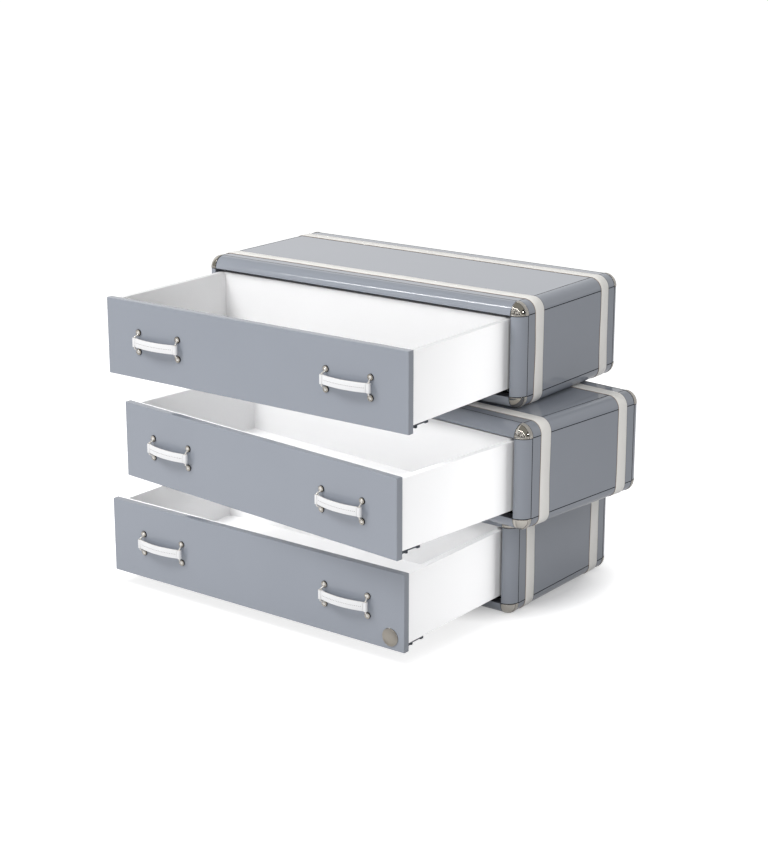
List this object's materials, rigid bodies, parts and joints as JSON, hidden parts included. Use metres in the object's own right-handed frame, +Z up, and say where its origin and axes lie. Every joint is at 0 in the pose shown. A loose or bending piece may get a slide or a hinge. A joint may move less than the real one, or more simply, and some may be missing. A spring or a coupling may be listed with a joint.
{
  "type": "chest of drawers",
  "caption": "Chest of drawers made of suitcase-like lacquered cases stacked askew, with leather bands, metal ball corners and strap-handled drawers standing open.",
  "frame": {"origin": "on the floor, in the middle of the underside of the lower case's front leather band, which the chest stands on with the rear band; it is the mount base", "axes": "+Z up, +Y towards the back (the lower drawer opens along -Y), +X to the right of someone facing the drawers"},
  "size_m": [1.135, 0.9859, 0.798],
  "materials": {
    "grey_lacquer": "satin",
    "white_lacquer": "satin",
    "band_leather": "satin",
    "strap_leather": "satin",
    "cast_nickel": "polished",
    "handle_nickel": "satin",
    "disc_nickel": "satin",
    "zinc_steel": "satin",
    "clip_plastic": "matte"
  },
  "bodies": {
    "cases": {"lower_case_top": "grey_lacquer", "lower_case_floor": "grey_lacquer", "lower_case_sides": "grey_lacquer", "lower_case_back": "grey_lacquer", "lower_case_front_frame": "grey_lacquer", "lower_case_edge_mouldings": "grey_lacquer", "lower_case_corner_caps": "cast_nickel", "lower_case_bands": "band_leather", "lower_case_runner_rails": "zinc_steel", "middle_case_top": "grey_lacquer", "middle_case_floor": "grey_lacquer", "middle_case_sides": "grey_lacquer", "middle_case_back": "grey_lacquer", "middle_case_front_frame": "grey_lacquer", "middle_case_edge_mouldings": "grey_lacquer", "middle_case_corner_caps": "cast_nickel", "middle_case_bands": "band_leather", "middle_case_runner_rails": "zinc_steel", "upper_case_top": "grey_lacquer", "upper_case_floor": "grey_lacquer", "upper_case_sides": "grey_lacquer", "upper_case_back": "grey_lacquer", "upper_case_front_frame": "grey_lacquer", "upper_case_edge_mouldings": "grey_lacquer", "upper_case_corner_caps": "cast_nickel", "upper_case_bands": "band_leather", "upper_case_runner_rails": "zinc_steel", "lower_case_joining_plates": "zinc_steel", "middle_case_joining_plates": "zinc_steel"},
    "lower_runner_slides": {"lower_runner_slides": "zinc_steel"},
    "lower_drawer": {"lower_drawer_front": "grey_lacquer", "lower_drawer_sides": "white_lacquer", "lower_drawer_ends": "white_lacquer", "lower_drawer_bottom": "white_lacquer", "lower_drawer_runner_channels": "zinc_steel", "lower_drawer_clips": "clip_plastic", "lower_handle_straps": "strap_leather", "lower_handle_loops": "handle_nickel", "lower_handle_rosettes": "handle_nickel", "lower_drawer_disc": "disc_nickel"},
    "middle_runner_slides": {"middle_runner_slides": "zinc_steel"},
    "middle_drawer": {"middle_drawer_front": "grey_lacquer", "middle_drawer_sides": "white_lacquer", "middle_drawer_ends": "white_lacquer", "middle_drawer_bottom": "white_lacquer", "middle_drawer_runner_channels": "zinc_steel", "middle_drawer_clips": "clip_plastic", "middle_handle_straps": "strap_leather", "middle_handle_loops": "handle_nickel", "middle_handle_rosettes": "handle_nickel"},
    "upper_runner_slides": {"upper_runner_slides": "zinc_steel"},
    "upper_drawer": {"upper_drawer_front": "grey_lacquer", "upper_drawer_sides": "white_lacquer", "upper_drawer_ends": "white_lacquer", "upper_drawer_bottom": "white_lacquer", "upper_drawer_runner_channels": "zinc_steel", "upper_drawer_clips": "clip_plastic", "upper_handle_straps": "strap_leather", "upper_handle_loops": "handle_nickel", "upper_handle_rosettes": "handle_nickel"}
  },
  "joints": [
    {"name": "lower_drawer_slide", "type": "slide", "parent": "cases", "child": "lower_drawer", "axis": [0, -1, 0], "range_m": [-0.404, 0.011]},
    {"name": "lower_runner_slide", "type": "slide", "parent": "cases", "child": "lower_runner_slides", "axis": [0, -1, 0], "range_m": [-0.202, 0.0055]},
    {"name": "middle_drawer_slide", "type": "slide", "parent": "cases", "child": "middle_drawer", "axis": [-0.1035, -0.9946, 0], "range_m": [-0.408, 0.007]},
    {"name": "middle_runner_slide", "type": "slide", "parent": "cases", "child": "middle_runner_slides", "axis": [-0.1035, -0.9946, 0], "range_m": [-0.204, 0.0035]},
    {"name": "upper_drawer_slide", "type": "slide", "parent": "cases", "child": "upper_drawer", "axis": [0.0068, -1, 0], "range_m": [-0.4125, 0.0025]},
    {"name": "upper_runner_slide", "type": "slide", "parent": "cases", "child": "upper_runner_slides", "axis": [0.0068, -1, 0], "range_m": [-0.20625, 0.00125]}
  ],
  "couplings": [
    {"joint": "lower_runner_slide", "follows": "lower_drawer_slide", "ratio": 0.5},
    {"joint": "middle_runner_slide", "follows": "middle_drawer_slide", "ratio": 0.5},
    {"joint": "upper_runner_slide", "follows": "upper_drawer_slide", "ratio": 0.5}
  ]
}
